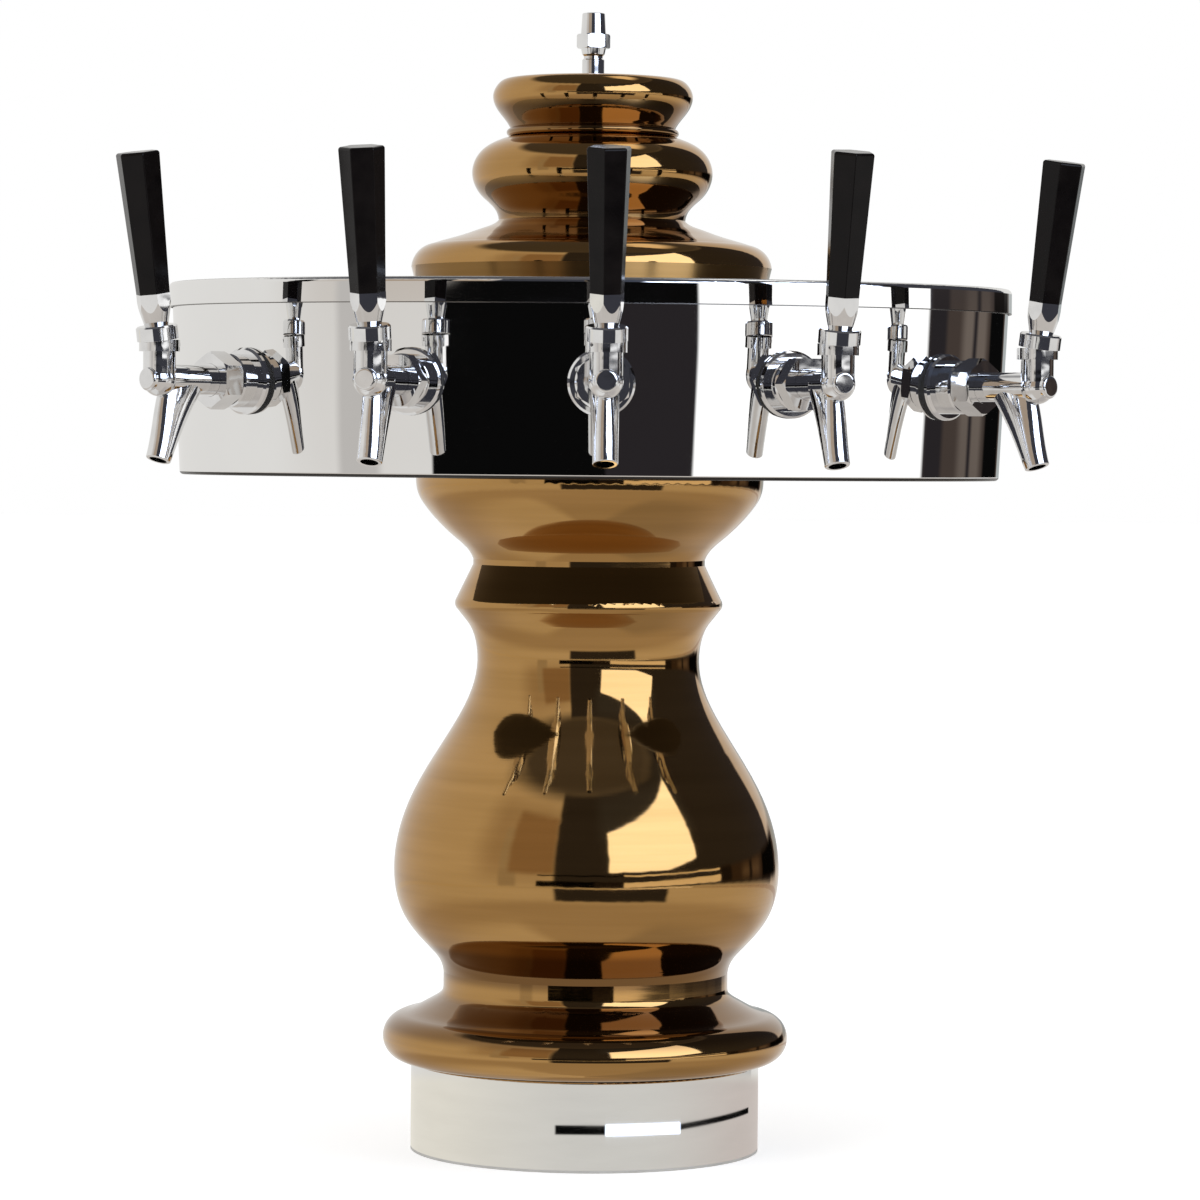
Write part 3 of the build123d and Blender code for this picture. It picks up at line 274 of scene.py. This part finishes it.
# ---------------------------------------------------------------- softboxes
# Two square lamps with cloth fronts, high on either side, that model the matt and rubber
# parts and throw the shadow. They don't show in the mirror finishes.
SOFTBOX_SIZE = 2.2
TOWER_MIDDLE = Vector((0, 0, 0.4))
# Each softbox has its name, its place and its power in watts.
SOFTBOXES = (
    ("key_softbox", Vector((-2.4, -2.6, 2.8)), 38),
    ("fill_softbox", Vector((2.8, -1.6, 2.0)), 18),
)

for name, spot, power in SOFTBOXES:
    lamp = bpy.data.lights.new(name, "AREA")
    lamp.size = SOFTBOX_SIZE
    lamp.energy = power
    softbox = bpy.data.objects.new(name, lamp)
    softbox.location = spot
    softbox.rotation_euler = (TOWER_MIDDLE - spot).to_track_quat("-Z", "Y").to_euler()
    softbox.visible_glossy = False
    scene.collection.objects.link(softbox)


# ---------------------------------------------------------------- base gasket and other seals
# Flat rings stamped from sheet: pale silicone under the tower, and matt black rubber between
# the ceramic pieces and the steel, behind each tap's flange and in each coupling.
RUBBER_TONES = (0.014, 0.014, 0.014, 1), (0.030, 0.029, 0.028, 1)
SILICONE_TONES = (0.60, 0.59, 0.57, 1), (0.52, 0.51, 0.49, 1)
SHEET_GRAIN = 0.00005
NOISE_LOW, NOISE_HIGH = 0.3, 0.7


def cloud_on(tree, scale, detail=2.0, stretch=(1.0, 1.0, 1.0)):
    """A noise texture read from the piece's own coordinates."""
    coordinates = tree.nodes.new("ShaderNodeTexCoord")
    mapping = tree.nodes.new("ShaderNodeMapping")
    mapping.inputs["Scale"].default_value = stretch
    tree.links.new(coordinates.outputs["Object"], mapping.inputs["Vector"])
    node = tree.nodes.new("ShaderNodeTexNoise")
    node.inputs["Scale"].default_value = scale
    node.inputs["Detail"].default_value = detail
    tree.links.new(mapping.outputs["Vector"], node.inputs["Vector"])
    return node.outputs["Fac"]


def spread(tree, amount, low, high):
    """Spreads a noise, which mostly lies near its middle, over a range of values."""
    node = tree.nodes.new("ShaderNodeMapRange")
    node.inputs["From Min"].default_value = NOISE_LOW
    node.inputs["From Max"].default_value = NOISE_HIGH
    node.inputs["To Min"].default_value = low
    node.inputs["To Max"].default_value = high
    tree.links.new(amount, node.inputs["Value"])
    return node.outputs["Result"]


def mottle(tree, shader, amount, first, second):
    """Colours the surface between two colours by a noise."""
    node = tree.nodes.new("ShaderNodeMix")
    node.data_type = "RGBA"
    tree.links.new(spread(tree, amount, 0.0, 1.0), node.inputs["Factor"])
    one, other = [s for s in node.inputs if s.type == "RGBA"]
    one.default_value = first
    other.default_value = second
    result = [s for s in node.outputs if s.type == "RGBA"][0]
    tree.links.new(result, shader.inputs["Base Color"])


def relief(tree, shader, amount, depth):
    """Adds a relief of a given depth in metres over the relief that is already there."""
    node = tree.nodes.new("ShaderNodeBump")
    node.inputs["Distance"].default_value = depth
    tree.links.new(amount, node.inputs["Height"])
    if shader.inputs["Normal"].links:
        tree.links.new(shader.inputs["Normal"].links[0].from_socket, node.inputs["Normal"])
    tree.links.new(node.outputs["Normal"], shader.inputs["Normal"])


def finish(material, *names):
    """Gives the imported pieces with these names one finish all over."""
    for name in names:
        slots = nodes[name].data.materials
        if not slots:
            slots.append(material)
        for index in range(len(slots)):
            slots[index] = material


sheet_rubber, tree, shader = new_material("sheet_rubber")
dust = cloud_on(tree, 60.0, 5.0)
mottle(tree, shader, dust, *RUBBER_TONES)
shader.inputs["Roughness"].default_value = 0.75
relief(tree, shader, cloud_on(tree, 900.0, 2.0), SHEET_GRAIN)
finish(sheet_rubber, "column_gasket", "drum_gasket", "crown_gasket")
finish(sheet_rubber, "shank_seals", "coupling_washers")

pale_silicone, tree, shader = new_material("pale_silicone")
bloom = cloud_on(tree, 40.0, 4.0)
mottle(tree, shader, bloom, *SILICONE_TONES)
shader.inputs["Roughness"].default_value = 0.55
relief(tree, shader, bloom, SHEET_GRAIN)
finish(pale_silicone, "base_gasket")


# ---------------------------------------------------------------- base ring and mounting plate
# The ring is a band of stainless strip, rolled round, welded behind and buffed to a soft
# mirror, with its top turned in. The plate inside it is satin sheet that carries the tube.
BUFFED_TONES = (0.86, 0.85, 0.83, 1), (0.82, 0.81, 0.79, 1)
SATIN_TONES = (0.62, 0.62, 0.61, 1), (0.52, 0.52, 0.51, 1)
SATIN_GRAIN = 0.00004

buffed_steel, tree, shader = new_material("buffed_steel")
shader.inputs["Metallic"].default_value = 1.0
smear = cloud_on(tree, 16.0, 4.0, (1.0, 1.0, 5.0))
mottle(tree, shader, smear, *BUFFED_TONES)
tree.links.new(spread(tree, smear, 0.004, 0.014), shader.inputs["Roughness"])
finish(buffed_steel, "base_ring")

satin_steel, tree, shader = new_material("satin_steel")
shader.inputs["Metallic"].default_value = 1.0
grain = cloud_on(tree, 180.0, 4.0)
mottle(tree, shader, grain, *SATIN_TONES)
tree.links.new(spread(tree, grain, 0.26, 0.40), shader.inputs["Roughness"])
relief(tree, shader, grain, SATIN_GRAIN)
finish(satin_steel, "base_plate")


# ---------------------------------------------------------------- ceramic column and crown
# Both are turned stoneware under a metallic gold-brown lustre. The glaze is mirror bright
# but turned clay is never quite true, so the reflections wander, and fine rings run round it.
# In the hollows between the rolls the colour is painted browner and darker, as painted shade.
GOLD_TONES = (0.492, 0.278, 0.094, 1), (0.420, 0.233, 0.074, 1)
HOLLOW_SHADE_TONE = (0.240, 0.128, 0.046, 1)
WANDER_DEPTH = 0.0011
RING_DEPTH = 0.00003
HOLLOW_SOFTNESS = 0.004
# Each hollow has its level, and how far its painted shade reaches above and below it.
HOLLOWS = (0.104, 0.0125), (0.142, 0.0130), (0.706, 0.0130), (0.767, 0.0110)


def level_of(tree):
    """The height of each point of the piece."""
    place = tree.nodes.new("ShaderNodeTexCoord")
    level = tree.nodes.new("ShaderNodeSeparateXYZ")
    tree.links.new(place.outputs["Object"], level.inputs["Vector"])
    return level.outputs["Z"]


def tint(tree, shader, mask, tone):
    """Lays a tone over the colour that is already there, where a mask is 1."""
    node = tree.nodes.new("ShaderNodeMix")
    node.data_type = "RGBA"
    tree.links.new(mask, node.inputs["Factor"])
    one, other = [s for s in node.inputs if s.type == "RGBA"]
    tree.links.new(shader.inputs["Base Color"].links[0].from_socket, one)
    other.default_value = tone
    result = [s for s in node.outputs if s.type == "RGBA"][0]
    tree.links.new(result, shader.inputs["Base Color"])


def near_level(tree, level, reach, softness):
    """Is 1 within reach of a level and fades to 0 beyond it."""
    offset = tree.nodes.new("ShaderNodeMath")
    offset.operation = "SUBTRACT"
    offset.inputs[1].default_value = level
    tree.links.new(level_of(tree), offset.inputs[0])
    distance = tree.nodes.new("ShaderNodeMath")
    distance.operation = "ABSOLUTE"
    tree.links.new(offset.outputs[0], distance.inputs[0])
    fade = tree.nodes.new("ShaderNodeMapRange")
    fade.interpolation_type = "SMOOTHSTEP"
    fade.inputs["From Min"].default_value = reach - softness
    fade.inputs["From Max"].default_value = reach + softness
    fade.inputs["To Min"].default_value = 1.0
    fade.inputs["To Max"].default_value = 0.0
    tree.links.new(distance.outputs[0], fade.inputs["Value"])
    return fade.outputs["Result"]


lustre, tree, shader = new_material("gold_lustre_glaze")
shader.inputs["Metallic"].default_value = 1.0
turning_marks = cloud_on(tree, 4.0, 6.0, (1.0, 1.0, 28.0))
mottle(tree, shader, turning_marks, *GOLD_TONES)
# Painted shade: each hollow between the rolls is tinted darker and browner.
for level, reach in HOLLOWS:
    tint(tree, shader, near_level(tree, level, reach, HOLLOW_SOFTNESS), HOLLOW_SHADE_TONE)
shader.inputs["Coat Weight"].default_value = 0.15
shader.inputs["Coat Roughness"].default_value = 0.02
haze = cloud_on(tree, 26.0, 5.0)
tree.links.new(spread(tree, haze, 0.03, 0.075), shader.inputs["Roughness"])
relief(tree, shader, cloud_on(tree, 9.0, 1.0), WANDER_DEPTH)
relief(tree, shader, turning_marks, RING_DEPTH)
finish(lustre, "ceramic_column", "ceramic_crown")


# ---------------------------------------------------------------- manifold drum and lid
# An oval pan of 1.5 mm stainless with a drafted wall, polished to a mirror, and a pressed
# lid whose skirt laps over its rim. The sheet ripples a little, as thin polished steel does.
# The pan's underside is painted near black as shade under the drum, and the lid's top has a
# satin finish.
# A dark line along the skirt's lower edge is painted shadow where the skirt laps the rim.
WALL_AGREEMENT = 0.998
UNDERSIDE_LEVEL = 0.5042
LID_TOP_LEVEL = 0.6436
SKIRT_EDGE = 0.6255
EDGE_REACH = 0.0007
MIRROR_TONES = (0.88, 0.878, 0.87, 1), (0.86, 0.857, 0.85, 1)
UNDERSIDE_SHADE_TONE = (0.055, 0.052, 0.05, 1)
LID_TOP_TONE = (0.50, 0.50, 0.49, 1)
SKIRT_SHADOW_TONE = (0.22, 0.21, 0.20, 1)
UNDERSIDE_HAZE, LID_TOP_HAZE, SKIRT_SHADOW_HAZE = 0.30, 0.30, 0.25
RIPPLE_DEPTH = 0.0012
# Each wall has its oval's half length and half width, and its draft.
DRUM_WALL = 0.3083, 0.2133, 0.0477
LID_SKIRT = 0.3135, 0.2185, 0.0


def along_wall(tree, shader, half_length, half_width, draft):
    """Lets the polish follow the oval wall exactly, where the mesh only steps round it."""
    def vector_math(operation, *inputs):
        node = tree.nodes.new("ShaderNodeVectorMath")
        node.operation = operation
        for socket, value in zip(node.inputs, inputs):
            if isinstance(value, tuple):
                socket.default_value = value
            else:
                tree.links.new(value, socket)
        return node

    place = tree.nodes.new("ShaderNodeTexCoord").outputs["Object"]
    mesh_way = tree.nodes.new("ShaderNodeNewGeometry").outputs["Normal"]
    across = (1.0 / half_length, 1.0 / half_width, 0.0)
    share = vector_math("MULTIPLY", place, across).outputs["Vector"]
    outward = vector_math("MULTIPLY", share, across).outputs["Vector"]
    lean = vector_math("SCALE", (0.0, 0.0, -draft))
    share_out = vector_math("DOT_PRODUCT", share, outward).outputs["Value"]
    tree.links.new(share_out, lean.inputs["Scale"])
    wall_way = vector_math("ADD", outward, lean.outputs["Vector"])
    wall_way = vector_math("NORMALIZE", wall_way.outputs["Vector"]).outputs["Vector"]
    agreement = vector_math("DOT_PRODUCT", wall_way, mesh_way).outputs["Value"]
    on_wall = tree.nodes.new("ShaderNodeMath")
    on_wall.operation = "GREATER_THAN"
    on_wall.inputs[1].default_value = WALL_AGREEMENT
    tree.links.new(agreement, on_wall.inputs[0])
    change = vector_math("SUBTRACT", wall_way, mesh_way).outputs["Vector"]
    turn = vector_math("SCALE", change)
    tree.links.new(on_wall.outputs[0], turn.inputs["Scale"])
    way = vector_math("ADD", mesh_way, turn.outputs["Vector"])
    tree.links.new(way.outputs["Vector"], shader.inputs["Normal"])


def polished_sheet(name, half_length, half_width, draft):
    """Mirror-polished sheet bent round an oval, with a faint ripple."""
    material, tree, shader = new_material(name)
    shader.inputs["Metallic"].default_value = 1.0
    haze = cloud_on(tree, 18.0, 6.0)
    mottle(tree, shader, haze, *MIRROR_TONES)
    tree.links.new(spread(tree, haze, 0.008, 0.030), shader.inputs["Roughness"])
    along_wall(tree, shader, half_length, half_width, draft)
    ripple = cloud_on(tree, 8.0, 1.0, (1.0, 1.0, 0.6))
    relief(tree, shader, ripple, RIPPLE_DEPTH)
    return material, tree, shader


def dull_and_shade(tree, shader, comparison, level, reach, tone, haze):
    """Turns the polish to a duller, darker tone above, below or within reach of a level; it
    gives the lid's satin top and paints shade under the pan and along the skirt's edge.
    """
    mask = tree.nodes.new("ShaderNodeMath")
    mask.operation = comparison
    mask.inputs[1].default_value = level
    mask.inputs[2].default_value = reach
    tree.links.new(level_of(tree), mask.inputs[0])
    tint(tree, shader, mask.outputs[0], tone)
    rough = tree.nodes.new("ShaderNodeMath")
    rough.operation = "MULTIPLY_ADD"
    rough.inputs[1].default_value = haze
    tree.links.new(mask.outputs[0], rough.inputs[0])
    tree.links.new(shader.inputs["Roughness"].links[0].from_socket, rough.inputs[2])
    tree.links.new(rough.outputs[0], shader.inputs["Roughness"])


drum_steel, tree, shader = polished_sheet("drum_steel", *DRUM_WALL)
# Painted shade: the pan's underside, out of the light under the drum, is tinted near black.
dull_and_shade(tree, shader, "LESS_THAN", UNDERSIDE_LEVEL, 0.0, UNDERSIDE_SHADE_TONE, UNDERSIDE_HAZE)
finish(drum_steel, "manifold_drum")

lid_steel, tree, shader = polished_sheet("lid_steel", *LID_SKIRT)
dull_and_shade(tree, shader, "GREATER_THAN", LID_TOP_LEVEL, 0.0, LID_TOP_TONE, LID_TOP_HAZE)
# Painted shadow: a thin dark band along the skirt's lower edge, where it laps over the pan's
# rim.
dull_and_shade(tree, shader, "COMPARE", SKIRT_EDGE, EDGE_REACH, SKIRT_SHADOW_TONE, SKIRT_SHADOW_HAZE)
finish(lid_steel, "manifold_lid")


# ---------------------------------------------------------------- support tube and tie rod
# Satin stainless tube and rod that hold the stack together from inside: the ring nut clamps
# the drum's floor, and the bridge and its nuts take the pull of the rod from the finial.
finish(satin_steel, "support_tube", "tube_ring_nut", "rod_bridge", "rod_nuts", "tie_rod")


# ---------------------------------------------------------------- beer lines and cooling loop
# Five bright-drawn steel beer lines and one bare copper loop come up the tube together,
# held apart in its foot by a turned disc of white nylon.
COPPER_TONES = (0.80, 0.43, 0.27, 1), (0.58, 0.28, 0.17, 1)
NYLON_TONES = (0.80, 0.80, 0.77, 1), (0.74, 0.73, 0.69, 1)
LATHE_MARKS = 0.00003

copper, tree, shader = new_material("bare_copper")
shader.inputs["Metallic"].default_value = 1.0
tarnish = cloud_on(tree, 40.0, 5.0)
mottle(tree, shader, tarnish, *COPPER_TONES)
tree.links.new(spread(tree, tarnish, 0.18, 0.36), shader.inputs["Roughness"])
finish(copper, "coolant_loop")
finish(satin_steel, "beer_lines", "tail_pieces")

nylon, tree, shader = new_material("white_nylon")
turning = cloud_on(tree, 120.0, 3.0)
mottle(tree, shader, turning, *NYLON_TONES)
shader.inputs["Roughness"].default_value = 0.45
relief(tree, shader, turning, LATHE_MARKS)
finish(nylon, "line_spacer")


# ---------------------------------------------------------------- shanks and couplings
# Chromed brass: a threaded shank through the wall with its round flange and sleeve, a lock
# nut inside, and the hexagonal coupling nut that draws the faucet up to the shank.
CHROME_TONES = (0.86, 0.86, 0.86, 1), (0.76, 0.76, 0.765, 1)
CASTING_WANDER = 0.00012

chrome, tree, shader = new_material("chrome_plate")
shader.inputs["Metallic"].default_value = 1.0
wear = cloud_on(tree, 70.0, 5.0)
mottle(tree, shader, wear, *CHROME_TONES)
tree.links.new(spread(tree, wear, 0.02, 0.07), shader.inputs["Roughness"])
relief(tree, shader, cloud_on(tree, 45.0, 2.0), CASTING_WANDER)
finish(chrome, "shanks", "shank_flanges", "shank_lock_nuts", "coupling_nuts")


# ---------------------------------------------------------------- faucets
# Each faucet is a cast and chromed body with its spout, a screwed bonnet over the lever's
# ball, the lever with its bell-shaped collar, and a plunger that works inside the barrel.
TAP_COUNT = 5

finish(chrome, "bonnets")
for number in range(1, TAP_COUNT + 1):
    finish(chrome, f"tap_{number}_body", f"tap_{number}_collar")
    finish(satin_steel, f"tap_{number}_plunger", f"tap_{number}_lever")


# ---------------------------------------------------------------- handles
# Six-sided handles moulded in glossy black plastic, each pressed into a chromed ferrule
# that is round at the lever and six-sided at the handle.
PLASTIC_TONES = (0.0040, 0.0032, 0.0034, 1), (0.007, 0.0055, 0.0055, 1)
MOULD_WANDER = 0.0002

black_plastic, tree, shader = new_material("black_plastic")
scuff = cloud_on(tree, 60.0, 5.0)
mottle(tree, shader, scuff, *PLASTIC_TONES)
tree.links.new(spread(tree, scuff, 0.10, 0.20), shader.inputs["Roughness"])
shader.inputs["IOR"].default_value = 1.24
relief(tree, shader, cloud_on(tree, 30.0, 1.0), MOULD_WANDER)
for number in range(1, TAP_COUNT + 1):
    finish(black_plastic, f"tap_{number}_handle")
    finish(chrome, f"tap_{number}_ferrule")


# ---------------------------------------------------------------- finial
# Turned and chromed: a necked stem on the crown, a hexagonal nut on the tie rod, and a
# tapered blind cap over the rod's end.
finish(chrome, "finial_stem", "finial_nut", "finial_cap")


# ---------------------------------------------------------------- box
# The dressed model's box, leaving out the floor.
low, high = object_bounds()
